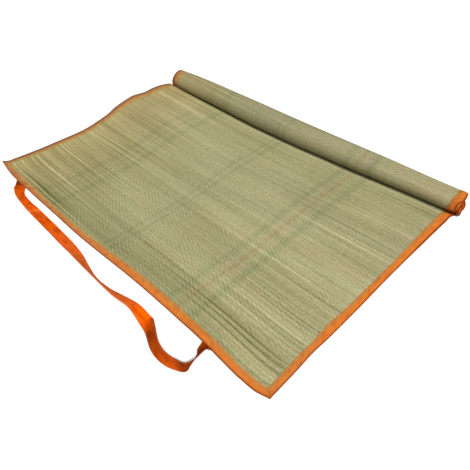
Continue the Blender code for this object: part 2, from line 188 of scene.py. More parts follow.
def column(table, number, at):
    """Smooth curve through one column of a table: cubic pieces whose slopes are the mean ones at its rows."""
    place, value = np.array(table, float)[:, 0], np.array(table, float)[:, number]
    slope = np.gradient(value, place)
    at = np.clip(at, place[0], place[-1])
    low = np.clip(np.searchsorted(place, at) - 1, 0, len(place) - 2)
    step = place[low + 1] - place[low]
    f = (at - place[low]) / step
    from_low = (1 + 2 * f) * (1 - f) ** 2 * value[low] + f * (1 - f) ** 2 * step * slope[low]
    from_high = f ** 2 * (3 - 2 * f) * value[low + 1] + f ** 2 * (f - 1) * step * slope[low + 1]
    return from_low + from_high


def wander(at, length, seed):
    """Smooth unevenness along a line, -1 to 1: a random value every length, joined by smooth steps."""
    count = 2048
    values = np.random.default_rng(seed).uniform(-1, 1, count)
    cell = np.floor(at / length).astype(int)
    f = smooth(at / length - cell)
    return values[cell % count] * (1 - f) + values[(cell + 1) % count] * f


def fade(distance, full, none):
    """1 up to the distance full, 0 past the distance none, and a smooth slope between them."""
    return smooth((none - distance) / (none - full))


def lift(u, v):
    """Height of the lying sheet's underside: its bound edges, the left hump and the strap's ends."""
    across = u - HALF
    edge = fade(np.minimum(np.minimum(u, MAT_WIDTH - u), v), *BOUND_EDGE) * UNDER
    hump_share = np.clip((HUMP_END - across) / (HUMP_END + HALF), 0, 1) ** 1.5
    hump = np.maximum(column(LEFT_SIDE, 2, v), 0) * hump_share
    roots = sum(rise * fade(np.abs(across - place), *ROOT_REACH) for place, rise in STRAP_ROOTS)
    return edge + hump + roots * fade(v, *ROOT_RUN)


def side_to_side(u, v):
    """Place across of a lying point: evenly spaced between the left side's and the right side's lines."""
    left = -HALF + column(LEFT_SIDE, 1, v)
    right = HALF + column(RIGHT_SIDE, 1, v)
    return left + (right - left) * u / MAT_WIDTH


def crease_angle(u):
    """Angle on the roll, below zero, where the lying sheet's bound top would meet its near side."""
    radius = column(ROLL, 1, side_to_side(u, LYING))
    return -np.arccos(1 - (lift(u, LYING) + SHEET + UNDER) / radius)


def lying_middle(u, v):
    """The lying sheet's middle: v scaled to the crease, less the near edge's bow, which fades with v."""
    x = side_to_side(u, v)
    end = side_to_side(u, LYING)
    crease = column(ROLL, 2, end) + column(ROLL, 1, end) * np.sin(crease_angle(u))
    y = v * crease / LYING - column(NEAR_EDGE, 1, x) * (1 - v / LYING) ** 2
    return np.stack([x, y, lift(u, v) + MIDDLE], -1)


def wound_across(u, turn):
    """Place across of a wound point: the crease's place, which soon goes over to the roll's own edges."""
    degrees = np.degrees(turn)
    flat = side_to_side(u, LYING)
    left, right = column(WOUND_EDGES, LEFT, degrees), column(WOUND_EDGES, RIGHT, degrees)
    wound = left + (right - left) * u / MAT_WIDTH
    return flat + (wound - flat) * smooth((turn - crease_angle(u)) / EASE_TURN)


def soft_lower(a, b, rounding):
    """The lower of two heights, rounded where they meet: half of their sum less the root of their
    difference squared and the rounding squared."""
    return (a + b - np.sqrt((a - b) ** 2 + rounding ** 2)) / 2


def wound_middle(u, turn):
    """The wound sheet's middle at an angle in radians: a spiral, its first turn at the roll's full radius.

    Up to the crease's angle plus a turn the radius stays, past it each turn is one pitch further in.
    Before it reaches the ground the sheet still comes in at its lying height.
    """
    x = wound_across(u, turn)
    radius = column(ROLL, 1, x)
    back = crease_angle(u) + 2 * np.pi
    inwards = smooth((turn - back + EASE_TURN) / EASE_TURN) + np.maximum(turn - back, 0) / (2 * np.pi)
    pitch = (radius - MIDDLE - CORE) / TURNS
    loose = radius * column(LOOSE_TURNS, 1, np.degrees(turn)) * smooth((x - LOOSE_FROM) / LOOSE_OVER)
    r = radius - MIDDLE - pitch * inwards + loose
    y = column(ROLL, 2, x) + r * np.sin(turn)
    z = radius - r * np.cos(turn)
    high = lift(u, LYING) + MIDDLE
    lower = soft_lower(high, z, 0.3 * np.minimum(high - MIDDLE, 5))
    return np.stack([x, y, np.where(turn < 0, lower, z)], -1)


def middle(u, way):
    """The sheet's middle surface, lying up to way 1 and wound past it."""
    u, way = np.broadcast_arrays(u, way)
    lying = lying_middle(u, np.minimum(way, 1) * LYING)
    wound = wound_middle(u, crease_angle(u) + 2 * np.pi * np.maximum(way - 1, 0))
    return np.where((way > 1)[..., None], wound, lying)


def mat_point(u, way, depth):
    """A point at a depth from the sheet's middle, along its normal, the cross product of its two slopes."""
    u, way, depth = np.broadcast_arrays(np.asarray(u, float), way, depth)
    across = middle(u + 0.5, way) - middle(u - 0.5, way)
    step = np.where(way > 1, 0.004, 0.001)
    along = middle(u, way + step) - middle(u, way - step)
    normal = np.cross(across, along)
    normal /= np.linalg.norm(normal, axis=-1, keepdims=True)
    return middle(u, way) + depth[..., None] * normal


def length_along(way):
    """Distance along the cut mat for each way, measured on the middle line of its width."""
    samples = 6000
    fine = np.linspace(0, way.max(), samples)
    line = middle(np.full(samples, HALF), fine)
    steps = np.linalg.norm(np.diff(line, axis=0), axis=-1)
    return np.interp(way, fine, np.concatenate([[0], np.cumsum(steps)]))


def new_piece(name, points, faces, uv, material):
    """A mesh object from layout points, none of them under the ground, with its UV map in millimetres."""
    mesh = bpy.data.meshes.new(name)
    points = np.maximum(points, [-np.inf, -np.inf, GROUND_GAP])
    mesh.from_pydata(((points - ORIGIN) * 0.001).tolist(), [], faces)
    corner = np.empty(len(mesh.loops), np.int32)
    mesh.loops.foreach_get("vertex_index", corner)
    layer = mesh.uv_layers.new(name="cloth")
    layer.data.foreach_set("uv", np.asarray(uv, np.float32)[corner].ravel())
    mesh.materials.append(material)
    mesh.shade_smooth()
    piece = bpy.data.objects.new(name, mesh)
    bpy.context.scene.collection.objects.link(piece)
    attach(piece, "root")
    return piece


def mark(piece, name, values):
    """Gives each point of a piece one number, which its material reads under the name."""
    layer = piece.data.attributes.new(name, "FLOAT", "POINT")
    layer.data.foreach_set("value", np.asarray(values, np.float32).ravel())


def tube_faces(rows, count):
    """Quads between closed rings of count points that are stored one after the other."""
    i, j = np.meshgrid(np.arange(rows - 1), np.arange(count), indexing="ij")
    k = (j + 1) % count
    quads = np.stack([i * count + j, i * count + k, (i + 1) * count + k, (i + 1) * count + j], -1)
    return quads.reshape(-1, 4)


def flat_cap(count):
    """Quads across a flat ring whose second half runs back over its first half."""
    j = np.arange(count // 2 - 1)
    return np.stack([j, count - 1 - j, count - 2 - j, j + 1], -1)


def closed_tube(rings):
    """Points and faces of a closed body through even rings, the first half of each over its second."""
    rows, count = rings.shape[:2]
    cap = flat_cap(count)
    last = (rows - 1) * count + cap[:, ::-1]
    return rings.reshape(-1, 3), np.vstack([tube_faces(rows, count), cap, last]).tolist()


def rolled_up(way):
    """How far a row is wound: 0 where the mat lies, 1 from just past the crease on."""
    return smooth((way - 0.985) / 0.06)


def half_thickness(u, way):
    """Half the sheet's thickness: pressed thinner under the binding where the mat is wound."""
    lying, pressed = SHEET_HALF
    edge = fade(np.minimum(u - 6, MAT_WIDTH - u), *PRESSED_EDGE)
    return lying + (pressed - lying) * edge * rolled_up(way)


def sheet_rows():
    """The sheet's rows: their ways, which of them are fine, two for a stalk, and their distance along."""
    lying = np.linspace(REED / 2 / LYING, 1, 500)
    outer = 1 + np.arange(1, 176) / 165
    way = np.concatenate([lying, outer, INNER_ROWS])
    fine = way <= outer[-1]
    row_along = (np.arange(len(way)) + 1) * REED / 2
    length = length_along(way)
    along = np.where(fine, row_along, row_along[fine][-1] + length - length[fine][-1])
    return way, fine, along


def reed_ridges(fine):
    """Height of each fine row: every second one stands up and the others sink, each stalk by its own size."""
    row = np.arange(len(fine))
    size = RIDGE[0] + RIDGE[1] * np.random.default_rng(3).uniform(-1, 1, len(row))[row // 2]
    return np.where(fine, np.where(row % 2 == 0, size, -size), 0.0)


def sedge_mat(material):
    """The whole mat as one closed sheet: half its thickness and the stalks' ridges on both sides."""
    way, fine, along = sheet_rows()
    edge = np.array([1.2, 4, 8, 14, 19, 26, 38])
    u = np.concatenate([edge, np.linspace(55, MAT_WIDTH - 55, 33), MAT_WIDTH - edge[::-1]])
    grid_way, grid_u = np.meshgrid(way, u, indexing="ij")
    bound = fade(np.minimum(np.minimum(grid_u, MAT_WIDTH - grid_u), grid_way * LYING), 12, 18)
    half = half_thickness(grid_u, grid_way) + reed_ridges(fine)[:, None] * (1 - 0.7 * bound)
    top = mat_point(grid_u, grid_way, half)
    bottom = mat_point(grid_u, grid_way, -half)
    rings = np.concatenate([top, bottom[:, ::-1]], axis=1)
    points, faces = closed_tube(rings)
    place = np.stack([grid_u, np.broadcast_to(along[:, None], grid_u.shape)], -1)
    uv = np.concatenate([place, place[:, ::-1]], axis=1).reshape(-1, 2)
    piece = new_piece("sedge_sheet", points, faces, uv, material)
    under = np.zeros(rings.shape[:2])
    under[:, len(u):] = 1
    mark(piece, "underside", under)
    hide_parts("mat_panel")
    return piece


def tape_profile(width, half, over, under):
    """Closed outline of the folded tape: in from the fold, and depth, for each station's sizes.

    From the upper hem over the domed upper layer to the fold, back along the lower layer, and inside
    again along the sheet, each inner point under its outer one. half is half the slot for the sheet,
    over and under are the cloth's thickness above and below it.
    """
    slot = [1.0, 0.99, 0.98] + [part for part, height in TAPE_CROWN[3:]]
    rows = [(width * part, half + TAPE_CLEAR + over * height) for part, height in TAPE_CROWN]
    rows += [(np.full_like(width, place), height * (half + (over if height > 0 else under)))
             for place, height in TAPE_FOLD]
    rows += [(width * part, -(half + TAPE_CLEAR + under * height)) for part, height in TAPE_CROWN[::-1]]
    inner = [(part, -1.0) for part in slot] + [(0.0, height) for place, height in TAPE_FOLD[::-1]]
    inner += [(part, 1.0) for part in slot[::-1]]
    rows += [(TAPE_INSET + (width - TAPE_INSET) * part, side * (half + TAPE_CLEAR)) for part, side in inner]
    q = np.stack([row[0] for row in rows], -1)
    depth = np.stack([row[1] + 0 * width for row in rows], -1)
    return q, depth


def tape_uv(along, q, depth):
    """UV of a tape: distance along it, and the distance round its outline from the upper hem."""
    step = np.hypot(np.diff(q, axis=1), np.diff(depth, axis=1))
    around = np.concatenate([np.zeros((len(q), 1)), np.cumsum(step, axis=1)], axis=1)
    return np.stack([np.broadcast_to(along[:, None], q.shape), around], -1).reshape(-1, 2)


def uneven_width(along, slow, quick):
    """What a tape's width gains or loses, in millimetres: a slow and a quick unevenness, by their seeds."""
    return 0.35 * wander(along, 16, slow) + 0.25 * wander(along, 6, quick)


def uneven_cloth(along, slow, quick):
    """What a tape's thickness is multiplied by, about 1: a slow and a quick unevenness, by their seeds."""
    return 1 + 0.1 * wander(along, 9, slow) + 0.06 * wander(along, 4, quick)


def mark_tape_wear_and_shade(piece, q, width, age, reach, low=0):
    """Marks a tape's age, its place from fold to hem, and its brown: exp of minus (q / reach) ^ 4 towards the
    fold, or low, the painted shade, where that is more.
    """
    mark(piece, "age", np.broadcast_to(age[:, None], q.shape))
    mark(piece, "across", q / width[:, None])
    mark(piece, "fold_brown_and_shade", np.maximum(np.exp(-(q / reach[:, None]) ** 4), np.reshape(low, (-1, 1))))


def stitches(name, start, end, out, material):
    """Sewing thread from hole to hole: 22 faces a stitch, a five-sided tube on an arch of sin(pi t)."""
    sides = 5
    t = np.linspace(0, 1, sides)
    turn = np.linspace(0, 2 * np.pi, sides, endpoint=False)
    along = end - start
    side = np.cross(out, along)
    side /= np.linalg.norm(side, axis=1)[:, None]
    arch = THREAD_RISE * np.sin(np.pi * t) - THREAD_SUNK
    centre = start[:, None] + along[:, None] * t[:, None] + out[:, None] * arch[:, None]
    thick = THREAD * np.sqrt(np.sin(np.pi * (0.1 + 0.8 * t)))
    ring = side[:, None, None] * np.cos(turn)[:, None] + out[:, None, None] * np.sin(turn)[:, None]
    points = centre[:, :, None] + ring * thick[:, None, None]
    first = np.arange(len(start))[:, None, None] * sides ** 2
    quads = (tube_faces(sides, sides)[None] + first).reshape(-1, 4).tolist()
    starts = (np.arange(sides)[::-1][None] + first[:, 0]).tolist()
    ends = (np.arange(sides ** 2 - sides, sides ** 2)[None] + first[:, 0]).tolist()
    uv = np.zeros((len(start) * sides ** 2, 2))
    piece = new_piece(name, points.reshape(-1, 3), quads + starts + ends, uv, material)
    return piece


def seam(name, place, holes, material):
    """One line of stitches: place gives a point and its outward neighbour for each hole's position."""
    on, off = place(holes)
    to, _ = place(holes + STITCH_LENGTH)
    out = off - on
    out /= np.linalg.norm(out, axis=1)[:, None]
    return stitches(name, on, to, out, material)


def near_tape(material):
    """The near edge's tape: its outline set along the edge, cut at 45 degrees at both ends."""
    f = np.linspace(0, 1, 330)
    place = f * MAT_WIDTH
    width = column(NEAR_EDGE, 2, place - HALF) + uneven_width(place, 11, 12)
    over = TAPE_CLOTH[0] * uneven_cloth(place, 13, 14)
    q, depth = tape_profile(width, TAPE_SLOT[0] + 0 * f, over, TAPE_CLOTH[0] + 0 * f)
    run = q + MITRE_GAP
    u = run + (MAT_WIDTH - 2 * run) * f[:, None]
    rings = mat_point(u, q / LYING, depth)
    points, faces = closed_tube(rings)
    piece = new_piece("near_tape", points, faces, tape_uv(place, q, depth), material)
    age = np.interp(place, [0, 270, 450, 630, 900], [1.0, 0.8, 0.42, 0.16, 0.1])
    mark_tape_wear_and_shade(piece, q, width, age, 1.8 + 0 * place)
    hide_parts("binding_near")
    return piece


def near_seams(thread):
    """The tape's two lines of stitches, over and under the near edge."""
    depth = TAPE_SLOT[0] + TAPE_CLEAR + TAPE_CLOTH[0] * SEAM_DEPTH
    for side, name in ((1, "near_seam_top"), (-1, "near_seam_under")):

        def place(along):
            q = SEAM_AT * column(NEAR_EDGE, 2, along - HALF)
            u = q + (MAT_WIDTH - 2 * q) * along / MAT_WIDTH
            return [mat_point(u, q / LYING, side * (depth + more)) for more in (0, 0.5)]
        seam(name, place, np.arange(2, MAT_WIDTH - 4, STITCH), thread)


def side_binding(side, way):
    """A side's binding at each way: its width, the roll's angle in degrees, and how far it is wound."""
    table, number = ((LEFT_SIDE, 3), (RIGHT_SIDE, 2))[side - 1]
    u = SIDE_LINE if side == LEFT else MAT_WIDTH - SIDE_LINE
    turn = np.degrees(crease_angle(np.array(u)) + 2 * np.pi * np.maximum(way - 1, 0))
    rolled = rolled_up(way)
    lying = column(table, number, np.minimum(way, 1) * LYING)
    return lying + (column(WOUND_TAPE, side, turn) - lying) * rolled, turn, rolled


def on_outside(turn):
    """1 where the tape's lower layer is the roll's outside, from its far side to its near side."""
    return smooth((turn - 25) / 30) * (1 - smooth((turn - 270) / 50))


def mark_side_wear_and_shade(piece, side, q, width, along, turn, rolled):
    """Marks a side's tape: old on the left and browner far in from its fold, newer on the right, and painted
    shade low on the roll and on the tape at the crease."""
    # low: painted shade on the roll's lower near side and on the tape where the roll overhangs the crease
    low = np.maximum(rolled * fade(np.abs(turn % 360 - 322), 28, 54), fade(np.abs(along - LYING), 8, 17))
    if side == LEFT:
        age = 1 - 0.12 * rolled
        reach = 13.0 + 0 * along
    else:
        age = 0.2 * (1 - smooth((along - 90) / 60))
        # The brown's wider reach near the roll, past 360 along, is painted shade on the lifted fold
        reach = 1.8 + 1.8 * smooth((along - 360) / 90) + 0.4 * rolled
        # A little painted shade over the whole wound right tape
        low = np.maximum(low, 0.2 * rolled)
    mark_tape_wear_and_shade(piece, q, width, age, reach, low)


def side_tape(name, node, side, material):
    """A side's tape over the whole length: lying from its mitred corner, then wound up with the sheet."""
    way = np.concatenate([np.linspace(0, 1, 190), 1 + np.arange(1, 73) / 68, INNER_ROWS])
    along = length_along(way)
    width, turn, rolled = side_binding(side, way)
    width = width + uneven_width(along, 20 + side, 30 + side)
    uneven = uneven_cloth(along, 40 + side, 50 + side)
    half = TAPE_SLOT[0] + (TAPE_SLOT[1] - TAPE_SLOT[0]) * rolled
    cloth = TAPE_CLOTH[0] + (TAPE_CLOTH[1] - TAPE_CLOTH[0]) * rolled
    over = cloth * (1 + (uneven - 1) * (1 - rolled))
    under = cloth + OUTER_BULGE * on_outside(turn) * uneven
    q, depth = tape_profile(width, half, over, under)
    run = (q + MITRE_GAP) / LYING
    grid_way = run + way[:, None] * (1 - run / way[-1])
    rings = mat_point(q if side == LEFT else MAT_WIDTH - q, grid_way, depth)
    if side == LEFT:
        rings = rings[:, ::-1]
        q, depth = q[:, ::-1], depth[:, ::-1]
    points, faces = closed_tube(rings)
    piece = new_piece(name, points, faces, tape_uv(along, q, depth), material)
    mark_side_wear_and_shade(piece, side, q, width, along, turn, rolled)
    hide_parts(node)
    return piece


def side_seams(name, side, thread):
    """A side tape's two lines of stitches, as far as the first turns of the roll show them."""
    fine = np.linspace(0, 2.9, 3000)
    length = length_along(fine)
    for face, part in ((1, "top"), (-1, "under")):

        def place(along):
            way = np.interp(along, length, fine)
            width, turn, rolled = side_binding(side, way)
            half = TAPE_SLOT[0] + TAPE_CLEAR + (TAPE_SLOT[1] - TAPE_SLOT[0]) * rolled
            cloth = TAPE_CLOTH[0] + (TAPE_CLOTH[1] - TAPE_CLOTH[0]) * rolled
            depth = half + SEAM_DEPTH * (cloth + OUTER_BULGE * on_outside(turn) * (face < 0))
            q = SEAM_AT * width
            u = q if side == LEFT else MAT_WIDTH - q
            grid_way = q / LYING + way * (1 - q / LYING / (1 + TURNS))
            return [mat_point(u, grid_way, face * (depth + more)) for more in (0, 0.5)]
        seam(name + "_" + part, place, np.arange(2, length[-1] - 4, STITCH), thread)


def strap_frame(at):
    """The strap's middle line and its three directions: along it, across its width, and out of its face."""
    rows = np.array(STRAP_ROUTE, float)
    places = np.arange(len(rows), dtype=float)
    x, y, lean = (column(np.column_stack([places, rows]), i + 1, at) for i in range(3))
    lean = np.radians(lean)
    height = STRAP_WIDTH / 2 * np.abs(np.sin(lean)) + STRAP_THICK / 2 * np.abs(np.cos(lean))
    line = np.stack([x, y, height], -1)
    along = np.gradient(line, axis=0)
    along /= np.linalg.norm(along, axis=1)[:, None]
    level = np.cross([0.0, 0.0, 1.0], along)
    level /= np.linalg.norm(level, axis=1)[:, None]
    wide = np.cos(lean)[:, None] * level + np.sin(lean)[:, None] * np.cross(along, level)
    return line, along, wide, np.cross(along, wide)


def lapped(at):
    """1 within the strap's lapped join and 0 outside it, at rows of the route."""
    return smooth((at - STRAP_LAP[0]) / 0.08) * smooth((STRAP_LAP[1] - at) / 0.08)


def distance_along(line):
    """Distance from a line's first point to each of its points."""
    return np.concatenate([[0], np.cumsum(np.linalg.norm(np.diff(line, axis=0), axis=1))])


def mark_strap_wear_and_light(piece, at, x, y, across):
    """Marks the strap: its tone along it, with painted light and painted shade in it, dust in its middle and
    on the join's seam, and its two edges.
    """
    tone, shade, dust = (np.interp(x, *np.array(table, float).T)
                         for table in (STRAP_TONES_AND_LIGHT, STRAP_PAINTED_SHADES, STRAP_DUST))
    # Painted shade at the strap's left end, darker towards the mat's edge above it
    tone = np.where((x < -290) & (y > -30), 0.5 - 0.5 * smooth((y + 22) / 12), tone)
    tone = tone[:, None] - shade[:, None] * across / (STRAP_WIDTH / 2)
    seam_line = (np.abs(at - STRAP_LAP[1]) < 0.07) * 0.9
    mark(piece, "tone", tone)
    mark(piece, "dust", np.broadcast_to(np.maximum(dust, seam_line)[:, None], tone.shape))
    edge = smooth((np.abs(across) / (STRAP_WIDTH / 2) - 0.86) / 0.12)
    mark(piece, "edge", np.broadcast_to(edge, tone.shape))


def strap(material):
    """The strap: a flat outline with its sewn grooves, carried along the route and leaning with it."""
    at = np.linspace(0, len(STRAP_ROUTE) - 1, 12 * (len(STRAP_ROUTE) - 1) + 1)
    line, along, wide, face = strap_frame(at)
    length = distance_along(line)
    a, b = np.array(STRAP_OUTLINE, float).T
    across = np.concatenate([a, a[::-1]]) * STRAP_WIDTH / 2
    top = np.concatenate([b, np.zeros_like(b)])
    bottom = np.concatenate([np.zeros_like(b), -b[::-1]])
    thick = STRAP_THICK / 2 * (1 + 0.06 * wander(length, 11, 61))
    out = top * (thick + STRAP_LAP[2] * lapped(at))[:, None] + bottom * thick[:, None]
    spread = across + np.sign(across) * 0.25 * wander(length, 23, 62)[:, None]
    rings = line[:, None] + spread[..., None] * wide[:, None] + out[..., None] * face[:, None]
    points, faces = closed_tube(rings)
    uv = np.stack([np.broadcast_to(length[:, None], spread.shape), spread], -1).reshape(-1, 2)
    piece = new_piece("carrying_strap", points, faces, uv, material)
    mark_strap_wear_and_light(piece, at, line[:, 0], line[:, 1], across)
    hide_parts("carry_strap")
    return piece


def strap_seams(thread):
    """The strap's two lines of stitches on both faces, and the two lines across its lapped join."""
    fine = np.linspace(0, len(STRAP_ROUTE) - 1, 4000)
    line, along, wide, face = strap_frame(fine)
    length = distance_along(line)
    lap_from, lap_to, lap_more = STRAP_LAP
    holes = np.arange(3, length[-1] - 5, STITCH)
    for across, part in ((-1, "outer"), (1, "inner")):
        for over, layer in ((1, "top"), (-1, "under")):

            def place(distance):
                at = np.interp(distance, length, fine)
                centre, w, f = (np.stack([np.interp(at, fine, v[:, i]) for i in range(3)], -1)
                                for v in (line, wide, face))
                out = STRAP_THICK / 2 * 0.88 + lap_more * lapped(at) * (over > 0)
                base = centre + across * SEAM_AT * STRAP_WIDTH / 2 * w
                return base + over * out[:, None] * f, base + over * (out + 0.5)[:, None] * f
            seam("strap_seam_" + part + "_" + layer, place, holes, thread)
    for i, row in enumerate((lap_from + 0.14, lap_to - 0.10)):
        k = np.argmin(np.abs(fine - row))
        base = line[k] + face[k] * (STRAP_THICK / 2 + lap_more * 0.95)

        def across_place(distance):
            on = base + wide[k] * (distance - STRAP_WIDTH / 2)[:, None]
            return on, on + face[k] * 0.5
        holes = np.arange(1.5, STRAP_WIDTH - 3, STITCH)
        seam("strap_lap_%d" % i, across_place, holes, thread)


def linear(text):
    """A colour's sRGB hex value turned into linear light: (c + 0.055) / 1.055 to the power 2.4."""
    c = np.array([int(text[i:i + 2], 16) for i in (0, 2, 4)]) / 255
    c = np.where(c <= 0.04045, c / 12.92, ((c + 0.055) / 1.055) ** 2.4)
    return (*c.tolist(), 1.0)


def add(tree, kind, inputs=None, stops=(), **settings):
    """Adds one shader node with its settings, inputs and links, and gives back its first output in use.

    An input is a value or the output it is linked to. Stops are a ramp's places and hex colours.
    """
    node = tree.nodes.new("ShaderNode" + kind)
    for name, value in settings.items():
        setattr(node, name, value)
    for key, value in (inputs or {}).items():
        if isinstance(value, bpy.types.NodeSocket):
            tree.links.new(value, node.inputs[key])
        else:
            node.inputs[key].default_value = value
    while stops and len(node.color_ramp.elements) < len(stops):
        node.color_ramp.elements.new(0.5)
    for i, (place, colour) in enumerate(stops):
        node.color_ramp.elements[i].position = place
    for i, (place, colour) in enumerate(stops):
        node.color_ramp.elements[i].color = linear(colour)
    return next(output for output in node.outputs if output.enabled)


def maths(tree, operation, *values, **settings):
    """Adds a Math node, each of whose values is a number or the output it is linked to."""
    return add(tree, "Math", dict(enumerate(values)), operation=operation, **settings)


def mixed(tree, share, first, second, **settings):
    """Adds a Mix node: the first colour where share is 0, the second or their product where it is 1."""
    return add(tree, "Mix", {0: share, 6: first, 7: second}, data_type="RGBA", **settings)


def stretched_noise(tree, source, scale, detail):
    """Adds a noise over a place in the cloth, scaled on its own in each direction."""
    place = add(tree, "VectorMath", {0: source, 1: scale}, operation="MULTIPLY")
    return add(tree, "TexNoise", {"Vector": place, "Scale": 1, "Detail": detail}, noise_dimensions="2D")


def new_material(name):
    """An empty material with its Principled shader."""
    material = bpy.data.materials.new(name)
    material.use_nodes = True
    return material, material.node_tree, material.node_tree.nodes["Principled BSDF"]


def sedge_noises(tree, uv, stalks):
    """Unevenness about zero by its name, over the cloth's millimetres or along each stalk on its own."""
    uneven = {}
    for name, source, scale, detail in [
            ("own", stalks, (1 / 330, 3.71, 0), 1), ("bunch", uv, (1 / 700, 1 / 16, 0), 2),
            ("broad", uv, (1 / 260, 1 / 75, 0), 1), ("single", stalks, (1 / 520, 9.13, 0), 0),
            ("clear", uv, (1 / 210, 1 / 30, 0), 1), ("waver", uv, (1 / 90, 1 / 60, 0), 0),
            ("patchy", uv, (1 / 45, 1 / 30, 0), 1), ("grain", uv, (1 / 14, 1 / 0.4, 0), 2),
            ("speck", stalks, (1 / 7, 1.93, 0), 1), ("hue", stalks, (1 / 220, 5.17, 0), 1)]:
        uneven[name] = maths(tree, "SUBTRACT", stretched_noise(tree, source, scale, detail), 0.5)
    return uneven


def sedge_contrast(tree, across, along, under):
    """How clear the streaks are, and how calm the weave: clearer streaks at both sides than in the middle,
    clearest by the near edge, and all calmer underneath."""
    sides = add(tree, "ValToRGB", {0: across}, [
        (0.0, "efefef"), (0.2, "d6d6d6"), (0.34, "9f9f9f"), (0.66, "9c9c9c"), (0.8, "bcbcbc"),
        (1.0, "c2c2c2")])
    front = add(tree, "ValToRGB", {0: along}, [(0.0, "eaeaea"), (0.12, "eaeaea"), (0.24, "b7b7b7")])
    contrast = maths(tree, "MULTIPLY", sides, front)
    calm = maths(tree, "MULTIPLY_ADD", under, -0.35, 1.0)
    contrast = maths(tree, "MULTIPLY", contrast, calm)
    return contrast, calm


def stalk_tone(tree, uneven, contrast, rows):
    """Tone of the stalks, about 0.5: their streaks, and the gaps between them."""
    # Here and there one stalk is far paler or darker than its neighbours
    single = maths(tree, "MULTIPLY", uneven["single"], 3.6)
    single = maths(tree, "POWER", single, 3.0)
    streaks = maths(tree, "ADD", uneven["bunch"], uneven["own"])
    streaks = maths(tree, "MULTIPLY_ADD", single, 0.23, streaks)
    tone = maths(tree, "MULTIPLY_ADD", streaks, contrast, 0.5)
    # After every fourth stalk there is a wider gap, clearer in some places than in others
    fourth = maths(tree, "MULTIPLY", rows, 2 * np.pi / 4)
    fourth = maths(tree, "COSINE", fourth)
    fourth = maths(tree, "MULTIPLY_ADD", fourth, 0.5, 0.5)
    gap = maths(tree, "POWER", fourth, 3.0)
    clear = maths(tree, "MULTIPLY_ADD", uneven["clear"], -0.8, -0.18)
    clear = maths(tree, "MULTIPLY", clear, contrast)
    tone = maths(tree, "MULTIPLY_ADD", gap, clear, tone)
    return tone


def cord_dips(tree, u, stalk, waver):
    """1 where a stalk is over a cord and -1 where it dips under the next, a wave along each stalk. Each
    stalk's wave is shifted from the last one's, so the dips draw slanted rows 6.5 mm apart."""
    phase = maths(tree, "MULTIPLY", u, 1 / CORD_EVERY)
    phase = maths(tree, "MULTIPLY_ADD", stalk, CORD_SHIFT, phase)
    phase = maths(tree, "MULTIPLY_ADD", waver, 1.3, phase)
    phase = maths(tree, "MULTIPLY", phase, 2 * np.pi)
    dip = maths(tree, "COSINE", phase)
    return dip


def dip_depth(tree, across, patchy, calm):
    """How deep the dips show: unevenly, less at the sides, where they are worn, and less underneath."""
    worn = add(tree, "ValToRGB", {0: across}, [
        (0.0, "707070"), (0.2, "909090"), (0.35, "ffffff"), (0.7, "ffffff"), (0.85, "e0e0e0"),
        (1.0, "c8c8c8")])
    deep = maths(tree, "MULTIPLY_ADD", patchy, 0.26, 0.045)
    deep = maths(tree, "MULTIPLY", deep, worn)
    deep = maths(tree, "MULTIPLY", deep, calm)
    return deep


def sedge_tints(tree, colour, hue, dip, across, along, under):
    """The colour with its tints: greener and redder stalks, the coloured warp cords, which show most where
    a stalk dips under them, and what the sides, the length and the back add; towards the roll the length's
    tint is painted light."""
    hue = maths(tree, "ADD", hue, 0.5)
    hues = add(tree, "ValToRGB", {0: hue}, [
        (0.25, "f2f9f2"), (0.42, "fbfdfb"), (0.5, "ffffff"), (0.6, "fffdf8"), (0.78, "fff4ea")])
    lines = add(tree, "ValToRGB", {0: across}, WARP_LINES)
    shown = maths(tree, "MULTIPLY_ADD", dip, -0.2, 0.73)
    faded = add(tree, "ValToRGB", {0: across}, [
        (0.0, "f5e8d5"), (0.16, "ebe3d6"), (0.25, "e4e1da"), (0.45, "e9e8e8"), (0.7, "eae7e6"),
        (0.82, "f1eeee"), (1.0, "f7f3f3")])
    # Paler towards the roll: painted light that lifts the shade near the crease, less at the sides
    length = add(tree, "ValToRGB", {0: along}, [
        (0.0, "e4e6dd"), (0.08, "e5e6df"), (0.2, "ebebe7"), (0.45, "f3f3f3"), (0.7, "efefef"),
        (0.95, "fdfdfd")])
    inside = add(tree, "ValToRGB", {0: across}, [
        (0.0, "a0a0a0"), (0.2, "ffffff"), (0.85, "ffffff"), (1.0, "e8e8e8")])
    rim = add(tree, "ValToRGB", {0: across}, [
        (0.0, "f2ece6"), (0.09, "e9e5e1"), (0.2, "f8f8f8"), (0.3, "ffffff"), (0.55, "ffffff"),
        (0.75, "f2f2f2"), (1.0, "e6e4e2")])
    far = add(tree, "ValToRGB", {0: along}, [(0.4, "000000"), (0.6, "c0c0c0"), (0.95, "ffffff")])
    above = maths(tree, "SUBTRACT", 1.0, under)
    far = maths(tree, "MULTIPLY", far, above)
    for tint, share in ((hues, 1.0), (lines, shown), (faded, 1.0), (length, inside), (rim, far),
                        (linear("e7e5e7"), under)):
        colour = mixed(tree, share, colour, tint, blend_type="MULTIPLY")
    return colour


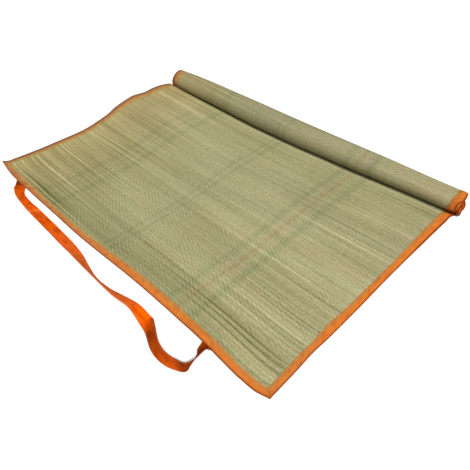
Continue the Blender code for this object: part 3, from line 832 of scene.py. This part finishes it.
def woven_sedge():
    """Sedge stalks woven across thin warp cords: long stalks of mixed green, straw and brown, each one
    glossy and fine-grained, dipping under every cord, which draws fine slanted rows over the mat."""
    material, tree, shader = new_material("woven_sedge")
    uv = add(tree, "UVMap", uv_map="cloth")
    u, v = add(tree, "SeparateXYZ", {0: uv}).node.outputs[:2]
    across = maths(tree, "DIVIDE", u, MAT_WIDTH)
    along = maths(tree, "DIVIDE", v, LYING)
    rows = maths(tree, "DIVIDE", v, REED)
    stalk = maths(tree, "FLOOR", rows)
    stalks = add(tree, "CombineXYZ", {0: u, 1: stalk})
    under = add(tree, "Attribute", attribute_name="underside")
    uneven = sedge_noises(tree, uv, stalks)
    contrast, calm = sedge_contrast(tree, across, along, under)
    tone = stalk_tone(tree, uneven, contrast, rows)
    dip = cord_dips(tree, u, stalk, uneven["waver"])
    deep = dip_depth(tree, across, uneven["patchy"], calm)
    tone = maths(tree, "MULTIPLY_ADD", dip, deep, tone)
    cords = maths(tree, "MULTIPLY", u, 2 * np.pi / CORD_LINES)
    cords = maths(tree, "COSINE", cords)
    tone = maths(tree, "MULTIPLY_ADD", cords, 0.02, tone)
    for name, weight in (("broad", 0.22), ("grain", 0.10), ("speck", 0.27)):
        tone = maths(tree, "MULTIPLY_ADD", uneven[name], weight, tone)
    colour = add(tree, "ValToRGB", {0: tone}, [
        (0.0, "5e5b38"), (0.28, "8a855a"), (0.42, "a19c73"), (0.5, "aca87e"), (0.6, "bab58b"),
        (0.75, "d4cda2"), (1.0, "ece4be")])
    colour = sedge_tints(tree, colour, uneven["hue"], dip, across, along, under)
    tree.links.new(colour, shader.inputs["Base Color"])
    rough = maths(tree, "MULTIPLY_ADD", uneven["own"], 0.3, 0.57)
    tree.links.new(rough, shader.inputs["Roughness"])
    shader.inputs["Specular IOR Level"].default_value = 0.3
    height = maths(tree, "MULTIPLY", dip, deep)
    height = maths(tree, "MULTIPLY_ADD", uneven["grain"], 0.12, height)
    bump = add(tree, "Bump", {"Height": height, "Strength": 0.7, "Distance": 0.001})
    tree.links.new(bump, shader.inputs["Normal"])
    return material


def plain_weave(tree, uv, spacing):
    """Threads of a plain weave, -1 to 1: the product of a sine wave along the cloth and one across it."""
    turns = 2 * np.pi / spacing
    ribs = add(tree, "VectorMath", {0: uv, 1: (turns, turns, 0)}, operation="MULTIPLY")
    waves = add(tree, "SeparateXYZ", {0: add(tree, "VectorMath", {0: ribs}, operation="SINE")}).node.outputs
    return maths(tree, "MULTIPLY", waves[0], waves[1])


def sewn_relief(tree, shader, uv, thread, scale, depth):
    """Relief of sewn cloth: puckers of the given scale between its stitches, with the threads on them."""
    pucker = stretched_noise(tree, uv, scale, 1)
    height = maths(tree, "MULTIPLY_ADD", thread, 0.12, pucker)
    bump = add(tree, "Bump", {"Height": height, "Strength": 0.7, "Distance": depth})
    tree.links.new(bump, shader.inputs["Normal"])


def cotton_tape():
    """Folded cotton tape, plain woven and dyed orange: matt, finely ribbed, puckered by its stitches,
    faded to a yellowish brown where it is older, and browner towards the fold. The same brown is also
    painted shade, low on the roll and on the tape at the crease."""
    material, tree, shader = new_material("cotton_tape")
    uv = add(tree, "UVMap", uv_map="cloth")
    age = add(tree, "Attribute", attribute_name="age")
    fold_brown_and_shade = add(tree, "Attribute", attribute_name="fold_brown_and_shade")
    across = add(tree, "Attribute", attribute_name="across")
    mottle = stretched_noise(tree, uv, (1 / 14, 1 / 7, 0), 2)
    outer = mixed(tree, age, linear("d67628"), linear("a26c42"))
    inner = mixed(tree, age, linear("bc7a38"), linear("a88a50"))
    inward = maths(tree, "MULTIPLY_ADD", mottle, 0.6, -0.95)
    inward = maths(tree, "MULTIPLY_ADD", across, 1.9, inward, use_clamp=True)
    colour = mixed(tree, inward, outer, inner)
    stains = add(tree, "ValToRGB", {0: mottle}, [(0.3, "e4dad4"), (0.5, "f6f2f0"), (0.7, "ffffff")])
    colour = mixed(tree, 1.0, colour, stains, blend_type="MULTIPLY")
    # Ribs 0.9 mm apart, a little coarser than the real ones
    thread = plain_weave(tree, uv, 0.9)
    deep = maths(tree, "MULTIPLY_ADD", thread, 0.08, 0.08)
    colour = mixed(tree, deep, colour, linear("a04a10"))
    # Browner towards the fold, and painted shade where the tape is marked low on the roll or at the crease,
    # both unevenly by the mottle
    worn = maths(tree, "MULTIPLY_ADD", mottle, 0.8, 0.55)
    worn = maths(tree, "MULTIPLY", worn, fold_brown_and_shade, use_clamp=True)
    brown = mixed(tree, age, linear("702a08"), linear("7c5436"))
    colour = mixed(tree, worn, colour, brown)
    tree.links.new(colour, shader.inputs["Base Color"])
    shader.inputs["Roughness"].default_value = 0.85
    shader.inputs["Specular IOR Level"].default_value = 0.1
    sewn_relief(tree, shader, uv, thread, (1 / 3.4, 1 / 16, 0), 0.0006)
    return material


def strap_cloth():
    """Folded cotton strap, plain woven and dyed a stronger orange: matt, ribbed across, mottled by wear,
    dusty in its middle, with painted light where it lies open to the light and painted shade on its
    standing stretch and at its sewn ends."""
    material, tree, shader = new_material("strap_cloth")
    uv = add(tree, "UVMap", uv_map="cloth")
    tone = add(tree, "Attribute", attribute_name="tone")
    dust = add(tree, "Attribute", attribute_name="dust")
    edge = add(tree, "Attribute", attribute_name="edge")
    mottle = stretched_noise(tree, uv, (1 / 22, 1 / 9, 0), 3)
    # The tone ramp: the cloth's own tone, with painted light and painted shade as marked along the strap
    colour = add(tree, "ValToRGB", {0: tone}, [(0.0, "742c02"), (0.5, "da5804"), (1.0, "fc6a02")])
    stains = add(tree, "ValToRGB", {0: mottle}, [(0.3, "d2c0b8"), (0.5, "f4eeea"), (0.7, "ffffff")])
    colour = mixed(tree, 1.0, colour, stains, blend_type="MULTIPLY")
    # Ribs 1.1 mm apart, a little coarser than the real ones
    thread = plain_weave(tree, uv, 1.1)
    deep = maths(tree, "MULTIPLY_ADD", thread, 0.08, 0.08)
    colour = mixed(tree, deep, colour, linear("8e2f04"))
    frayed = maths(tree, "MULTIPLY_ADD", edge, 0.5, mottle)
    dusty = maths(tree, "MULTIPLY", dust, frayed, use_clamp=True)
    colour = mixed(tree, dusty, colour, linear("de8450"))
    dim = maths(tree, "MULTIPLY", edge, 0.25)
    colour = mixed(tree, dim, colour, linear("7a3010"))
    tree.links.new(colour, shader.inputs["Base Color"])
    shader.inputs["Roughness"].default_value = 0.85
    shader.inputs["Specular IOR Level"].default_value = 0.03
    sewn_relief(tree, shader, uv, thread, (1 / 4.5, 1 / 14, 0), 0.0007)
    return material


def sewing_thread():
    """Spun polyester sewing thread, twisted: a slightly shiny orange darker than the cloth it holds."""
    material, tree, shader = new_material("sewing_thread")
    place = add(tree, "TexCoord").node.outputs["Object"]
    twist = add(tree, "TexNoise", {"Vector": place, "Scale": 900.0, "Detail": 1.0})
    colour = add(tree, "ValToRGB", {0: twist}, [(0.3, "b0521a"), (0.7, "e08a48")])
    tree.links.new(colour, shader.inputs["Base Color"])
    shader.inputs["Roughness"].default_value = 0.5
    return material


def rotation(x, z):
    """Turn about Z after a turn about X, in degrees."""
    cx, sx = np.cos(np.radians(x)), np.sin(np.radians(x))
    cz, sz = np.cos(np.radians(z)), np.sin(np.radians(z))
    return np.array([[cz, -sz, 0], [sz, cz, 0], [0, 0, 1]]) @ np.array([[1, 0, 0], [0, cx, -sx], [0, sx, cx]])


def camera():
    """The photograph's view: the roll first, then the pitch, then the heading."""
    data = bpy.data.cameras.new("camera")
    data.sensor_width = 36
    data.lens = PHOTO_FOCAL / PHOTO_WIDTH * 36
    data.clip_end = 50
    piece = bpy.data.objects.new("camera", data)
    bpy.context.scene.collection.objects.link(piece)
    place = np.eye(4)
    place[:3, :3] = rotation(CAMERA_PITCH, CAMERA_HEADING) @ rotation(0, CAMERA_ROLL)
    place[:3, 3] = CAMERA_PLACE - ORIGIN * 0.001
    piece.matrix_world = Matrix(place.tolist())
    bpy.context.scene.camera = piece


def floor():
    """A plain pale floor, far wider than the view."""
    mesh = bpy.data.meshes.new("floor")
    far, low = 8, -0.0002
    corners = [(-far, -far, low), (far, -far, low), (far, far, low), (-far, far, low)]
    mesh.from_pydata(corners, [], [(0, 1, 2, 3)])
    piece = bpy.data.objects.new("floor", mesh)
    bpy.context.scene.collection.objects.link(piece)
    material, tree, shader = new_material("pale_floor")
    shader.inputs["Base Color"].default_value = linear("fafafa")
    shader.inputs["Roughness"].default_value = 0.9
    mesh.materials.append(material)


def lights():
    """Soft studio light: a pale sky all round, a broad lamp in front and above, a faint cool low one."""
    world = bpy.data.worlds.new("studio")
    world.use_nodes = True
    world.node_tree.nodes["Background"].inputs["Color"].default_value = (1, 1, 1, 1)
    world.node_tree.nodes["Background"].inputs["Strength"].default_value = 0.36
    bpy.context.scene.world = world
    for name, energy, colour, angle, towards in (
            ("key", 3.92, (1.0, 1.0, 1.0), 14, (0.53, -0.24, 0.81)),
            ("fill", 0.32, (0.7, 0.9, 1.0), 50, (0.45, -0.6, 0.25))):
        data = bpy.data.lights.new(name, "SUN")
        data.energy = energy
        data.color = colour
        data.angle = np.radians(angle)
        piece = bpy.data.objects.new(name, data)
        piece.rotation_euler = Vector(towards).to_track_quat("Z", "Y").to_euler()
        bpy.context.scene.collection.objects.link(piece)
    bpy.context.scene.view_settings.view_transform = "Standard"


camera()
floor()
lights()
sedge, tape, cloth, thread = woven_sedge(), cotton_tape(), strap_cloth(), sewing_thread()
mat = sedge_mat(sedge)
near = near_tape(tape)
left = side_tape("left_tape", "binding_left", LEFT, tape)
right = side_tape("right_tape", "binding_right", RIGHT, tape)
carrier = strap(cloth)
near_seams(thread)
side_seams("left_seam", LEFT, thread)
side_seams("right_seam", RIGHT, thread)
strap_seams(thread)
